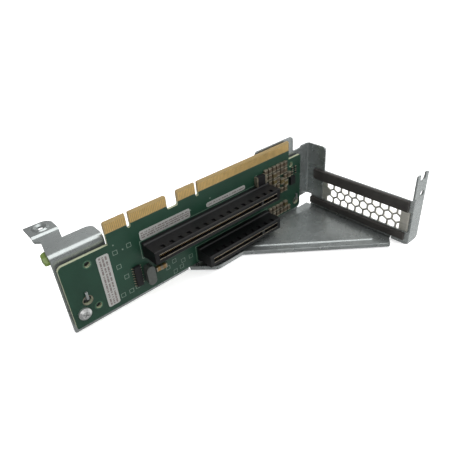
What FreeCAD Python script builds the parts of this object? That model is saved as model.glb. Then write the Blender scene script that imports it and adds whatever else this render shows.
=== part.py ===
"""PCIe riser card with its sheet-metal cage.

A green riser board stands on its long edge in front of the back wall of a bent
steel cage.  Two gold tongues point up, two card slots face -Y.  The cage has a
base plate under the slots and an I/O wall with a perforated filler at the +X end.

Frame, in millimetres: the origin is on the base plate's underside (Z = 0), in the
board's front plane (Y = 0), below the key of the two card slots (X = 0).
X runs along the board to the I/O wall, Y points to the back wall, Z is up.
"""
import FreeCAD, Part
import math
import os

# ---------------------------------------------------------------- board
BOARD_T = 1.6
BOARD_LEFT = -117.0
BOARD_RIGHT = 46.7
BOARD_BOTTOM = 4.0
BOARD_HEIGHT = 50.0            # bottom edge to the top of the gold tongues
SHOULDER_DROP = 12.2           # shoulders below the top of the tongues
TONGUE_NOTCH_DEPTH = 8.25      # key notches and the gap between the tongues
BOARD_CORNER_R = 2.5
TONGUE_CHAMFER = 0.6
TONGUE_BEVEL_HEIGHT = 1.3      # bevelled insertion edge
TONGUE_BEVEL_DEPTH = 0.4
CORNER_SMALL_R = 1.0           # ordinary outline corners of the board and the sheet
CUT_MARGIN = 1.0               # how far a cutter runs past the face it opens

# Edge tongues and card slots share one standard contact grid.
CONTACT_PITCH = 1.0
KEY_TO_FIRST_CONTACT = 1.5
KEY_NOTCH_WIDTH = 1.9
KEY_NOTCH_FLOOR_R = 0.855
SHORT_SIDE_COUNT = 11          # contacts between the key and the near end
TONGUE_SHORT_SIDE = 11.65      # tongue length on the short side of its key notch
TONGUE_END_MARGIN = 0.65       # from the last pad's pitch cell to the tongue's end
LOWER_TONGUE_KEY_X = -78.9     # four-lane tongue
LOWER_TONGUE_LONG_COUNT = 21
UPPER_TONGUE_KEY_X = -36.9     # sixteen-lane tongue
UPPER_TONGUE_LONG_COUNT = 71

PAD_WIDTH = 0.7
PAD_LENGTH = 4.5
PAD_T = 0.05
PAD_TOP_GAP = 0.1              # below the bevel

# ---------------------------------------------------------------- card slots
SLOT_KEY_X = 0.0
LOWER_SLOT_Z = 9.8
SLOT_SPACING = 20.32           # one expansion-card pitch
SLOT_BASE_WIDTH = 8.8
SLOT_BASE_HEIGHT = 2.2
SLOT_WIDTH = 7.5
SLOT_HEIGHT = 12.2
SLOT_END_MARGIN = 3.0          # last contact to the end of the housing
SLOT_FOOT_SLOPE = 0.6          # from the foot's step to the flank
SLOT_EDGE_CHAMFER = 0.3
MOUTH_WIDTH = 1.85             # takes the card's edge
MOUTH_DEPTH = 8.4              # from the mating face
CELL_WIDTH = 0.6               # contact cell in the side of the mouth
CELL_DEPTH = 0.7               # at the rim; the cell runs out to nothing at the mouth's floor
RIM_DEPTH = 0.9                # the mouth's ribs lie below the mating face
RIM_MARGIN = 0.15
CELL_OVERLAP = 0.09            # the cell's cutter reaches this far into the mouth
WINDOW_PITCH = 5.5             # core-outs along both flanks
WINDOW_WIDTH = 2.0
WINDOW_LENGTH = 2.8
WINDOW_RIM = 0.7
WINDOW_DEPTH = 1.0
CONTACT_WIDTH = 0.4
CONTACT_LENGTH = 6.4
CONTACT_KNEE = 4.6             # from the mouth's floor to the spring's knee
CONTACT_REACH = 0.3            # how far the knee stands into the mouth
CONTACT_CLEARANCE = 0.05       # its root to the cell's floor

# ---------------------------------------------------------------- cage
SHEET_T = 1.0
BEND_R = 1.0                   # inside radius
WALL_Y = 3.0                   # front face of the back wall
WALL_OVERHANG = 0.9            # back wall past the board's left end
WALL_LOW_TOP = 40.0            # hidden stretch behind the tongues
WALL_STEP_X = 10.0             # where the wall rises behind the wide tongue
WALL_HIGH_TOP = 54.2
WALL_NOTCH_LEFT = 43.0
WALL_NOTCH_RIGHT = 50.3
WALL_NOTCH_BOTTOM = 44.0
WALL_NOTCH_SLOPE = 1.2         # its right side leans out
WALL_TOP_R = 2.5
WALL_STEP_R = 2.0
CORNER_TOP = 45.2              # top of the corner and of the ear
IO_WALL_X = 58.0               # inner face of the I/O wall
IO_WALL_TOP = 29.0
EAR_REACH = 11.0               # ear of the I/O wall in front of the board plane
RELIEF_TOP = 8.6               # corner relief, where three bends meet
RELIEF_WIDTH = 9.5
CORNER_END_Y = -1.0            # where the fold of base and I/O wall ends

BASE_TIP_X = -46.0             # left end of the fold between wall and base
BASE_SHELF_Y = -9.0            # front edge of the base under the slots
BASE_SHELF_RIGHT = -15.6       # where that edge turns into the slanted one
BASE_FAR_Y = -66.5             # far end of the slanted edge
BASE_FAR_X = 50.0
BASE_END_STRIP = 1.5           # flat edge past the lip's far end
BASE_END_CUT = 4.0             # the fold of the I/O wall stops this far short of the far end
IO_WALL_RELIEF = 3.5
LIP_HEIGHT = 3.4               # top of the turned-up lip
LIP_CORNER_R = 4.0
LIP_END_R = 1.3                # rounding of the lip's far end
EMBOSS_INSET = 6.0
EMBOSS_BACK_SHIFT = 1.0        # its back edge lies this much nearer the wall's fold
EMBOSS_HEIGHT = 0.5
EMBOSS_CORNER_R = 3.0
EMBOSS_RECESS_INSET = 0.4      # the recess below is this much smaller all round

LEDGE_FRONT_Y = -73.4
LEDGE_REACH = 11.4             # outwards from the I/O wall's inner face
LEDGE_TOP = 44.6
LEDGE_PRONG_WIDTH = 2.8        # inner prong of the forked top
LEDGE_NOTCH_WIDTH = 5.6
LEDGE_NOTCH_DEPTH = 4.3
LEDGE_NOTCH_R = 2.52
LEDGE_RELIEF = 0.8             # gap over the top of the I/O wall
LEDGE_HOLE_R = 1.9
LEDGE_HOLE_REACH = 7.6
LEDGE_HOLE_Z = 31.9

FLANGE_TOP = 47.0              # top-left flange
FLANGE_BEND_R = 2.0
FLANGE_LENGTH = 26.6
FLANGE_BACK_Y = 15.2
FLANGE_TAPER = 2.3             # its left edge leans in towards the back
FLANGE_JOG_Y = 18.5
FLANGE_CORNER_R = 3.5
STRIP_WIDTH = 13.3             # strip that leads to the screw tab
STRIP_TAPER = 1.9              # narrower where it leaves the flange
TAB_FOLD_Y = 23.4
TAB_BACK_Y = 35.2
TAB_STEP = 1.0
TAB_HOLE_R = 1.6
TAB_HOLE_INSET = 6.7           # from the tab's left edge
TAB_HOLE_Y = 29.8
TAB_RIM_R = 4.1
TAB_RIM_HEIGHT = 0.7
TAB_DISH_R = 3.1
TAB_CORNER_R = 4.5

# ---------------------------------------------------------------- I/O opening
WINDOW_LOW = 8.0
WINDOW_HIGH = 21.5
WINDOW_NEAR_Y = -10.0
WINDOW_FOLD_CUT = 1.2          # how far the window cuts into the fold of the ledge
GASKET_T = 2.0
GASKET_UPPER_HEIGHT = 7.0
GASKET_LOWER_HEIGHT = 4.5
GASKET_UPPER_Y = (-71.4, -3.8)
GASKET_LOWER_Y = (-71.0, -1.5)
GASKET_GAP = 0.5               # lower strip to the window
GASKET_EDGE_R = 0.8

FILLER_T = 0.8
FILLER_WIDTH = 18.4
FILLER_LENGTH = 79.2
FILLER_Z = 14.4                # centre line
FILLER_BEND_OUT = 1.8
FILLER_TAB_REACH = 10.6
FILLER_TAIL_WIDTH = 10.2
FILLER_TAIL_LENGTH = 9.0
FILLER_NOTCH_WIDTH = 4.4
FILLER_NOTCH_DEPTH = 3.6
FILLER_NOTCH_INSET = 4.4       # notch centre to the tab's end
FILLER_NOTCH_R = 2.09
FILLER_SHOULDER = 3.0          # slope between the wide part and the tail
HEX_PITCH = 5.66
HEX_WEB = 1.1
HEX_FIRST_Y = -18.7
HEX_COUNT = 9                  # whole ones in the middle row

# ---------------------------------------------------------------- fasteners
SCREW_X = BOARD_LEFT + 5.5
SCREW_Z = BOARD_BOTTOM + 7.4
SCREW_R = 1.5
SCREW_CLEARANCE = 0.25         # shank to the board's hole
SCREW_HEAD_R = 3.3
SCREW_HEAD_H = 2.0
SCREW_RIM_H = 1.1              # straight side of the head
SCREW_CROWN_R = 2.05
SCREW_LENGTH = 5.0
SCREW_CROSS_ARM = 1.6
SCREW_CROSS_WIDTH = 0.5
SCREW_CROSS_DEPTH = 1.1
SCREW_CROSS_TURN = 30
THREAD_CLEARANCE = 0.04
BOSS_R = 3.4
# Tops of the board's round holes, which bear on the hooks.
HOOK_PLACES = ((BOARD_LEFT + 8.9, BOARD_BOTTOM + 16.0), (BOARD_RIGHT - 3.9, BOARD_BOTTOM + 7.8))
HOOK_WIDTH = 1.2
HOOK_T = 1.0
HOOK_RISE = 3.3                # finger in front of the board, above the bar
HOOK_GAP = 0.15                # finger to board
HOOK_HOLE_R = 2.3
HOOK_WINDOW_HEIGHT = 7.0       # lanced window in the back wall
HOOK_WINDOW_MARGIN = 0.2
PILOT_HOLE_R = 1.6
PILOT_HOLES = ((BOARD_LEFT + 13.5, 36.9), (BOARD_LEFT + 13.3, 11.6), (BOARD_RIGHT - 9.1, 37.6))

# ---------------------------------------------------------------- small parts
GUIDE_OVERHANG = 2.1           # plastic guide, past the back wall's left end
GUIDE_LENGTH = 8.0
GUIDE_DEPTH = 7.0
GUIDE_HEIGHT = 3.4
GUIDE_CORNER_R = 3.0
LABEL_T = 0.12
LABEL_CORNER = 0.7
# Stickers: left, right, low and high edge.
LABEL_TALL = (-99.0, -92.5, 6.9, 37.9)
LABEL_WIDE = (-74.6, -43.0, 35.6, 41.0)
LABEL_NARROW = (-31.6, -2.4, 36.2, 39.0)
# Larger parts: left, right, low and high edge, and the height above the board.
CLOCK_CHIP = (-82.0, -78.2, 10.4, 22.9)
CLOCK_CHIP_HEIGHT = 1.6
CLOCK_LEAD_COUNT = 8           # along each side
LEAD_REACH = 1.0
LEAD_WIDTH = 0.4
LEAD_T = 0.2
LEAD_KNEE = 0.6                # shares of the reach: outer knee and inner end of the foot
LEAD_HEEL = 0.4
CHIP_DRAFT = 0.15
CHIP_LIFT = 0.1
CRYSTAL = (-76.5, -71.6, 9.2, 20.8)
CRYSTAL_HEIGHT = 4.0
CRYSTAL_END_R = 2.4
INDUCTOR = (5.4, 13.0, 34.9, 40.8)
INDUCTOR_HEIGHT = 2.6
REGULATOR = (36.0, 40.6, 23.8, 29.3)
REGULATOR_HEIGHT = 1.6
BANK_X = 14.45                 # capacitor bank beside the sixteen-lane slot
BANK_Z = 23.5
BANK_DX = 3.45
BANK_DZ = 4.3
# (column, row) places that stay empty or hold a tantalum part.
BANK_GAPS = ((0, 0), (1, 0), (2, 0), (3, 0), (6, 0), (0, 1), (0, 2), (1, 1), (4, 1), (5, 1), (6, 1),
             (2, 2), (4, 2), (2, 3), (6, 3), (6, 4))
LOW_BANK_X = 17.6              # and the lower one beside the eight-lane slot
LOW_BANK_Z = 8.0
LOW_BANK_GAPS = ((0, 0), (4, 1), (5, 1))
CERAMIC_SIZE = (3.4, 2.5)
CERAMIC_HEIGHT = 1.3
TANTALUM_SIZE = (3.8, 2.8)
TANTALUM_HEIGHT = 1.9
BULK_SIZE = (3.2, 2.5)
BULK_HEIGHT = 1.6
BULK_PLACES = ((-68.0, 14.9), (-64.6, 14.7))
RESISTOR_SIZE = (2.0, 1.25)
RESISTOR_HEIGHT = 0.55
RESISTOR_X = 38.8
RESISTOR_Z = 31.4
RESISTOR_PITCH = 3.0

V = FreeCAD.Vector
PLANE_NORMAL = {"xy": V(0, 0, 1), "xz": V(0, 1, 0), "yz": V(1, 0, 0)}

BOARD_TOP = BOARD_BOTTOM + BOARD_HEIGHT
SHOULDER_Z = BOARD_TOP - SHOULDER_DROP
NOTCH_FLOOR_Z = BOARD_TOP - TONGUE_NOTCH_DEPTH
UPPER_SLOT_Z = LOWER_SLOT_Z + SLOT_SPACING
BEND_OUT = BEND_R + SHEET_T
WALL_LEFT = BOARD_LEFT - WALL_OVERHANG
FOLD_Y = WALL_Y - BEND_R
FOLD_X = IO_WALL_X - BEND_R
FLANGE_RIGHT = WALL_LEFT + FLANGE_LENGTH
STRIP_RIGHT = WALL_LEFT + STRIP_WIDTH
TAB_HOLE_X = WALL_LEFT + TAB_HOLE_INSET
SCREW_HOLE_R = SCREW_R + SCREW_CLEARANCE


def place(plane, u, v, w):
    """3-D point of (u, v) in a plane, w along the plane's normal."""
    if plane == "xy":
        return V(u, v, w)
    if plane == "xz":
        return V(u, w, v)
    return V(w, u, v)


def outline(plane, corners, level=0.0):
    """Closed wire through corners (u, v) or (u, v, radius)."""
    points = [FreeCAD.Vector(c[0], c[1], 0) for c in corners]
    radii = [c[2] if len(c) > 2 else 0.0 for c in corners]
    count = len(points)
    pieces = []
    for i, corner in enumerate(points):
        before = (points[i - 1] - corner).normalize()
        after = (points[(i + 1) % count] - corner).normalize()
        if radii[i] == 0.0:
            pieces.append((corner, None, corner))
            continue
        half = before.getAngle(after) / 2
        reach = radii[i] / math.tan(half)
        middle_dir = (before + after).normalize()
        centre = corner + middle_dir * (radii[i] / math.sin(half))
        pieces.append((corner + before * reach, centre - middle_dir * radii[i], corner + after * reach))
    edges = []
    for i, (start, middle, end) in enumerate(pieces):
        if middle is not None:
            arc = [place(plane, p.x, p.y, level) for p in (start, middle, end)]
            edges.append(Part.Arc(*arc).toShape())
        following = pieces[(i + 1) % count][0]
        if (following - end).Length > 1e-6:
            edges.append(Part.makeLine(place(plane, end.x, end.y, level),
                                       place(plane, following.x, following.y, level)))
    return Part.Wire(edges)


def plate(plane, corners, low, high):
    """Flat plate: an outline given a thickness from low to high."""
    return Part.Face(outline(plane, corners, low)).extrude(PLANE_NORMAL[plane] * (high - low))


def box(x0, x1, y0, y1, z0, z1):
    return Part.makeBox(x1 - x0, y1 - y0, z1 - z0, V(x0, y0, z0))


def cylinder(plane, u, v, radius, low, high):
    return Part.makeCylinder(radius, high - low, place(plane, u, v, low), PLANE_NORMAL[plane])


def bend(plane, u, v, inner, outer, start_deg, low, high):
    """Quarter of a tube about (u, v): the rounded corner of a folded sheet."""
    def at(radius, degrees):
        angle = math.radians(degrees)
        return place(plane, u + radius * math.cos(angle), v + radius * math.sin(angle), low)

    end_deg = start_deg + 90
    mid_deg = start_deg + 45
    edges = [
        Part.Arc(at(outer, start_deg), at(outer, mid_deg), at(outer, end_deg)).toShape(),
        Part.makeLine(at(outer, end_deg), at(inner, end_deg)),
        Part.Arc(at(inner, end_deg), at(inner, mid_deg), at(inner, start_deg)).toShape(),
        Part.makeLine(at(inner, start_deg), at(outer, start_deg)),
    ]
    return Part.Face(Part.Wire(edges)).extrude(PLANE_NORMAL[plane] * (high - low))


def fuse(shapes):
    first = shapes[0]
    return first.multiFuse(shapes[1:]).removeSplitter() if len(shapes) > 1 else first


def save(name, shapes):
    """Write one node; several separate solids become a compound."""
    solids = [solid for shape in shapes for solid in shape.Solids]
    shape = solids[0] if len(solids) == 1 else Part.makeCompound(solids)
    shape.exportStep("parts/" + name + ".step")
    print("%-24s %3d solids  %9.1f mm3" % (name, len(solids), sum(s.Volume for s in solids)))


# ================================================================ board
def contact_offsets(long_count):
    """Contact centres along X, measured from the key; the long side points to +X."""
    short_side = [-(KEY_TO_FIRST_CONTACT + i * CONTACT_PITCH) for i in range(SHORT_SIDE_COUNT)]
    long_side = [KEY_TO_FIRST_CONTACT + i * CONTACT_PITCH for i in range(long_count)]
    return short_side + long_side


def tongue_span(key_x, long_count):
    """Left and right end of a tongue with its key notch at key_x."""
    left = key_x - KEY_NOTCH_WIDTH / 2 - TONGUE_SHORT_SIDE
    right = key_x + KEY_NOTCH_WIDTH / 2 + long_count * CONTACT_PITCH + TONGUE_END_MARGIN
    return left, right


LOWER_TONGUE = tongue_span(LOWER_TONGUE_KEY_X, LOWER_TONGUE_LONG_COUNT)
UPPER_TONGUE = tongue_span(UPPER_TONGUE_KEY_X, UPPER_TONGUE_LONG_COUNT)


def key_notch(key_x):
    """Round-bottomed slot cut down into a tongue from its top edge."""
    left = key_x - KEY_NOTCH_WIDTH / 2
    right = key_x + KEY_NOTCH_WIDTH / 2
    above = BOARD_TOP + CUT_MARGIN
    return plate("xz", [
        (left, NOTCH_FLOOR_Z, KEY_NOTCH_FLOOR_R), (right, NOTCH_FLOOR_Z, KEY_NOTCH_FLOOR_R),
        (right, above), (left, above),
    ], -CUT_MARGIN, BOARD_T + CUT_MARGIN)


def riser_board():
    left_0, right_0 = LOWER_TONGUE
    left_1, right_1 = UPPER_TONGUE
    cham = TONGUE_CHAMFER
    body = plate("xz", [
        (BOARD_LEFT, BOARD_BOTTOM, CORNER_SMALL_R),
        (BOARD_RIGHT, BOARD_BOTTOM, BOARD_CORNER_R),
        (BOARD_RIGHT, SHOULDER_Z, CORNER_SMALL_R),
        (right_1, SHOULDER_Z),
        (right_1, BOARD_TOP - cham), (right_1 - cham, BOARD_TOP),
        (left_1 + cham, BOARD_TOP), (left_1, BOARD_TOP - cham),
        (left_1, NOTCH_FLOOR_Z, CORNER_SMALL_R), (right_0, NOTCH_FLOOR_Z, CORNER_SMALL_R),
        (right_0, BOARD_TOP - cham), (right_0 - cham, BOARD_TOP),
        (left_0 + cham, BOARD_TOP), (left_0, BOARD_TOP - cham),
        (left_0, SHOULDER_Z),
        (BOARD_LEFT, SHOULDER_Z, BOARD_CORNER_R),
    ], 0, BOARD_T)
    cuts = [key_notch(LOWER_TONGUE_KEY_X), key_notch(UPPER_TONGUE_KEY_X)]
    bevel_z = BOARD_TOP - TONGUE_BEVEL_HEIGHT
    above = BOARD_TOP + CUT_MARGIN
    for face_y, inward in ((0.0, 1), (BOARD_T, -1)):
        deep_y = face_y + inward * TONGUE_BEVEL_DEPTH
        clear_y = face_y - inward * CUT_MARGIN
        cuts.append(plate("yz", [
            (face_y, bevel_z), (deep_y, BOARD_TOP), (deep_y, above), (clear_y, above), (clear_y, bevel_z),
        ], left_0 - CUT_MARGIN, right_1 + CUT_MARGIN))
    holes = [(SCREW_X, SCREW_Z, SCREW_HOLE_R)]
    holes += [(x, z, PILOT_HOLE_R) for x, z in PILOT_HOLES]
    holes += [(x, z - HOOK_HOLE_R, HOOK_HOLE_R) for x, z in HOOK_PLACES]
    cuts += [cylinder("xz", x, z, radius, -CUT_MARGIN, BOARD_T + CUT_MARGIN) for x, z, radius in holes]
    return body.cut(cuts)


def pad_row(key_x, long_count, front):
    """Gold pads of one tongue, on the board's front or back face."""
    top = BOARD_TOP - TONGUE_BEVEL_HEIGHT - PAD_TOP_GAP
    y0 = -PAD_T if front else BOARD_T
    pads = []
    for offset in contact_offsets(long_count):
        x = key_x + offset
        pads.append(box(x - PAD_WIDTH / 2, x + PAD_WIDTH / 2, y0, y0 + PAD_T, top - PAD_LENGTH, top))
    return pads


# ================================================================ card slots
def slot_span(long_count):
    """Left and right end of a slot housing; its short side points to +X."""
    long_reach = KEY_TO_FIRST_CONTACT + (long_count - 1) * CONTACT_PITCH + SLOT_END_MARGIN
    short_reach = KEY_TO_FIRST_CONTACT + (SHORT_SIDE_COUNT - 1) * CONTACT_PITCH + SLOT_END_MARGIN
    return SLOT_KEY_X - long_reach, SLOT_KEY_X + short_reach


def slot_contact_runs(long_count):
    """Contact centres left and right of the slot's key."""
    left = [SLOT_KEY_X - KEY_TO_FIRST_CONTACT - i * CONTACT_PITCH for i in range(long_count)]
    right = [SLOT_KEY_X + KEY_TO_FIRST_CONTACT + i * CONTACT_PITCH for i in range(SHORT_SIDE_COUNT)]
    return sorted(left), right


def contact_cells(centres, z, floor_y, rim_y):
    """Cutters for the cells of one contact run, on both sides of the mouth."""
    half = MOUTH_WIDTH / 2
    inside = half - CELL_OVERLAP
    cells = []
    for x in centres:
        for sign in (-1, 1):
            wedge = [(floor_y, z + sign * half), (rim_y, z + sign * (half + CELL_DEPTH)),
                     (rim_y, z + sign * inside), (floor_y, z + sign * inside)]
            cells.append(plate("yz", wedge, x - CELL_WIDTH / 2, x + CELL_WIDTH / 2))
    return cells


def slot_housing(long_count, z):
    left, right = slot_span(long_count)
    base = SLOT_BASE_WIDTH / 2
    side = SLOT_WIDTH / 2
    top = -SLOT_HEIGHT
    edge = SLOT_EDGE_CHAMFER
    step_y = -SLOT_BASE_HEIGHT
    flank_y = step_y - SLOT_FOOT_SLOPE
    body = plate("yz", [
        (0, z - base), (0, z + base), (step_y, z + base), (flank_y, z + side),
        (top + edge, z + side), (top, z + side - edge), (top, z - side + edge), (top + edge, z - side),
        (flank_y, z - side), (step_y, z - base),
    ], left, right)
    cuts = []
    half = MOUTH_WIDTH / 2
    rim = half + CELL_DEPTH + RIM_MARGIN
    floor_y = top + MOUTH_DEPTH
    rim_y = top + RIM_DEPTH
    for run in slot_contact_runs(long_count):
        first = run[0] - CONTACT_PITCH / 2
        last = run[-1] + CONTACT_PITCH / 2
        cuts.append(box(first, last, rim_y, floor_y, z - half, z + half))
        cuts.append(box(first, last, top - CUT_MARGIN, rim_y, z - rim, z + rim))
        cuts += contact_cells(run, z, floor_y, rim_y)
    window_count = int((right - left - WINDOW_PITCH) / WINDOW_PITCH)
    for i in range(window_count):
        x = right - WINDOW_PITCH * (i + 1)
        for sign in (-1, 1):
            face = z + sign * side
            floor = face - sign * WINDOW_DEPTH
            cuts.append(box(x - WINDOW_WIDTH / 2, x + WINDOW_WIDTH / 2,
                            top + WINDOW_RIM, top + WINDOW_RIM + WINDOW_LENGTH,
                            min(face, floor), max(face, floor)))
    return body.cut(cuts)


def slot_contacts(long_count, z):
    """Spring contacts: a slim bow in each cell, its knee standing into the mouth."""
    floor_y = -SLOT_HEIGHT + MOUTH_DEPTH
    half = MOUTH_WIDTH / 2
    half_strip = CONTACT_WIDTH / 2
    contacts = []
    for run in slot_contact_runs(long_count):
        for x in run:
            for sign in (-1, 1):
                root = (floor_y, z + sign * (half - CONTACT_CLEARANCE))
                knee = (floor_y - CONTACT_KNEE, z + sign * (half - CONTACT_REACH))
                tip = (floor_y - CONTACT_LENGTH, z + sign * (half + CONTACT_REACH))
                contacts.append(plate("yz", [root, knee, tip], x - half_strip, x + half_strip))
    return contacts


# ================================================================ cage
def base_fold_path():
    """Fold line of the base plate's lip: tip, shelf under the slots, slanted edge."""
    return [(BASE_TIP_X, FOLD_Y), (BASE_TIP_X + (FOLD_Y - BASE_SHELF_Y), BASE_SHELF_Y),
            (BASE_SHELF_RIGHT, BASE_SHELF_Y), (BASE_FAR_X, BASE_FAR_Y)]


def base_lip():
    """Turned-up lip swept along the free edges of the base plate."""
    path = base_fold_path()
    edges = []
    start = V(*path[0], 0)
    for i in (1, 2):
        corner = V(*path[i], 0)
        before = (start - corner).normalize()
        after = (V(*path[i + 1], 0) - corner).normalize()
        half = before.getAngle(after) / 2
        reach = LIP_CORNER_R / math.tan(half)
        towards = (before + after).normalize()
        middle = corner + towards * (LIP_CORNER_R / math.sin(half) - LIP_CORNER_R)
        edges.append(Part.makeLine(start, corner + before * reach))
        edges.append(Part.Arc(corner + before * reach, middle, corner + after * reach).toShape())
        start = corner + after * reach
    edges.append(Part.makeLine(start, V(*path[-1], 0)))
    spine = Part.Wire(edges)

    origin = V(*path[0], 0)
    along = (V(*path[1], 0) - origin).normalize()
    outward = V(along.y, -along.x, 0)
    if outward.y > 0:
        outward = outward * -1

    def at(out, z):
        return origin + outward * out + V(0, 0, z)

    def on_bend(radius):
        """Middle of the bend's quarter circle of this radius."""
        return at(radius * math.sqrt(0.5), BEND_OUT - radius * math.sqrt(0.5))

    profile = Part.Wire([
        Part.Arc(at(0, 0), on_bend(BEND_OUT), at(BEND_OUT, BEND_OUT)).toShape(),
        Part.makeLine(at(BEND_OUT, BEND_OUT), at(BEND_OUT, LIP_HEIGHT)),
        Part.makeLine(at(BEND_OUT, LIP_HEIGHT), at(BEND_R, LIP_HEIGHT)),
        Part.makeLine(at(BEND_R, LIP_HEIGHT), at(BEND_R, BEND_OUT)),
        Part.Arc(at(BEND_R, BEND_OUT), on_bend(BEND_R), at(0, SHEET_T)).toShape(),
        Part.makeLine(at(0, SHEET_T), at(0, 0)),
    ])
    lip = Part.Solid(spine.makePipeShell([profile], True, True))
    far_end = V(*path[-1], LIP_HEIGHT)
    top_corner = [edge for edge in lip.Edges
                  if all(abs(v.Z - LIP_HEIGHT) < 1e-4 and v.Point.distanceToPoint(far_end) < BEND_OUT + 0.1
                         for v in edge.Vertexes)]
    return lip.makeFillet(LIP_END_R, top_corner)


def base_plate():
    path = base_fold_path()
    flat = plate("xy", [
        path[0], path[1] + (LIP_CORNER_R,), path[2] + (LIP_CORNER_R,), path[3],
        (BASE_FAR_X + BASE_END_STRIP, BASE_FAR_Y), (FOLD_X, BASE_FAR_Y + BASE_END_CUT), (FOLD_X, FOLD_Y),
    ], 0, SHEET_T)
    slope = math.atan2(BASE_FAR_Y - BASE_SHELF_Y, BASE_FAR_X - BASE_SHELF_RIGHT)
    inner_right = FOLD_X - EMBOSS_INSET + BEND_R
    inner_back = BASE_SHELF_Y + EMBOSS_INSET - EMBOSS_BACK_SHIFT

    def slanted_x(y):
        """X on the emboss's slanted edge, parallel to the base's slanted edge."""
        drop = y - BASE_SHELF_Y
        return BASE_SHELF_RIGHT + drop / math.tan(slope) + EMBOSS_INSET / abs(math.sin(slope))

    far_y = BASE_SHELF_Y + (inner_right - slanted_x(BASE_SHELF_Y)) * math.tan(slope)
    corners = ((slanted_x(inner_back), inner_back), (inner_right, far_y), (inner_right, inner_back))
    triangle = [corner + (EMBOSS_CORNER_R,) for corner in corners]

    def emboss(level, shrink):
        lower = outline("xy", triangle, level).makeOffset2D(-shrink)
        upper = outline("xy", triangle, level + EMBOSS_HEIGHT).makeOffset2D(-shrink - EMBOSS_HEIGHT)
        return Part.makeLoft([lower, upper], True)

    raised = emboss(SHEET_T, 0.0)
    recess = emboss(0.0, EMBOSS_RECESS_INSET)
    return [flat, raised], recess


def back_wall():
    low = BEND_OUT
    relief_left = IO_WALL_X - RELIEF_WIDTH - BEND_R
    flange_bend_z = FLANGE_TOP - FLANGE_BEND_R - SHEET_T
    foot_right = BASE_TIP_X - CUT_MARGIN
    return plate("xz", [
        (WALL_LEFT, 0, CORNER_SMALL_R), (foot_right, 0), (foot_right, low),
        (relief_left, low), (relief_left, RELIEF_TOP, CORNER_SMALL_R), (FOLD_X, RELIEF_TOP),
        (FOLD_X, CORNER_TOP), (WALL_NOTCH_RIGHT + WALL_NOTCH_SLOPE, CORNER_TOP),
        (WALL_NOTCH_RIGHT, WALL_NOTCH_BOTTOM), (WALL_NOTCH_LEFT, WALL_NOTCH_BOTTOM, CORNER_SMALL_R),
        (WALL_NOTCH_LEFT, WALL_HIGH_TOP, WALL_TOP_R), (WALL_STEP_X, WALL_HIGH_TOP, WALL_STEP_R),
        (WALL_STEP_X, WALL_LOW_TOP, WALL_STEP_R), (FLANGE_RIGHT, WALL_LOW_TOP),
        (FLANGE_RIGHT, flange_bend_z), (WALL_LEFT, flange_bend_z),
    ], WALL_Y, WALL_Y + SHEET_T)


def io_wall():
    ledge_fold_y = LEDGE_FRONT_Y + BEND_OUT
    relief_y = BASE_FAR_Y + IO_WALL_RELIEF
    return plate("yz", [
        (CORNER_END_Y, BEND_OUT), (CORNER_END_Y, RELIEF_TOP), (FOLD_Y, RELIEF_TOP), (FOLD_Y, CORNER_TOP),
        (-EAR_REACH, CORNER_TOP, WALL_TOP_R), (-EAR_REACH, IO_WALL_TOP, CORNER_SMALL_R),
        (ledge_fold_y, IO_WALL_TOP), (ledge_fold_y, 0), (relief_y, 0), (relief_y, BEND_OUT),
    ], IO_WALL_X, IO_WALL_X + SHEET_T)


def io_window():
    """Cutter for the opening of the I/O wall, which runs on into the fold of the ledge."""
    far = LEDGE_FRONT_Y - CUT_MARGIN
    return plate("yz", [
        (far, WINDOW_LOW), (WINDOW_NEAR_Y, WINDOW_LOW, CORNER_SMALL_R),
        (WINDOW_NEAR_Y, WINDOW_HIGH, CORNER_SMALL_R), (far, WINDOW_HIGH),
    ], IO_WALL_X - CUT_MARGIN, IO_WALL_X + WINDOW_FOLD_CUT)


def far_ledge():
    """Outward flange at the far end, with a forked top and a round hole."""
    left = IO_WALL_X
    fold = IO_WALL_X + BEND_OUT
    right = IO_WALL_X + LEDGE_REACH
    notch_left = left + LEDGE_PRONG_WIDTH
    notch_right = notch_left + LEDGE_NOTCH_WIDTH
    notch_floor = LEDGE_TOP - LEDGE_NOTCH_DEPTH
    relief_z = IO_WALL_TOP + LEDGE_RELIEF
    back_y = LEDGE_FRONT_Y + SHEET_T
    ledge = plate("xz", [
        (fold, 0), (right, 0, WALL_TOP_R), (right, LEDGE_TOP, CORNER_SMALL_R), (notch_right, LEDGE_TOP),
        (notch_right, notch_floor, LEDGE_NOTCH_R), (notch_left, notch_floor, LEDGE_NOTCH_R),
        (notch_left, LEDGE_TOP), (left, LEDGE_TOP, CORNER_SMALL_R), (left, relief_z), (fold, relief_z),
    ], LEDGE_FRONT_Y, back_y)
    hole = cylinder("xz", left + LEDGE_HOLE_REACH, LEDGE_HOLE_Z, LEDGE_HOLE_R,
                    LEDGE_FRONT_Y - CUT_MARGIN, back_y + CUT_MARGIN)
    fold_bend = bend("xy", fold, LEDGE_FRONT_Y + BEND_OUT, BEND_R, BEND_OUT, 180, 0, IO_WALL_TOP)
    return [ledge.cut(hole), fold_bend]


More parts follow.
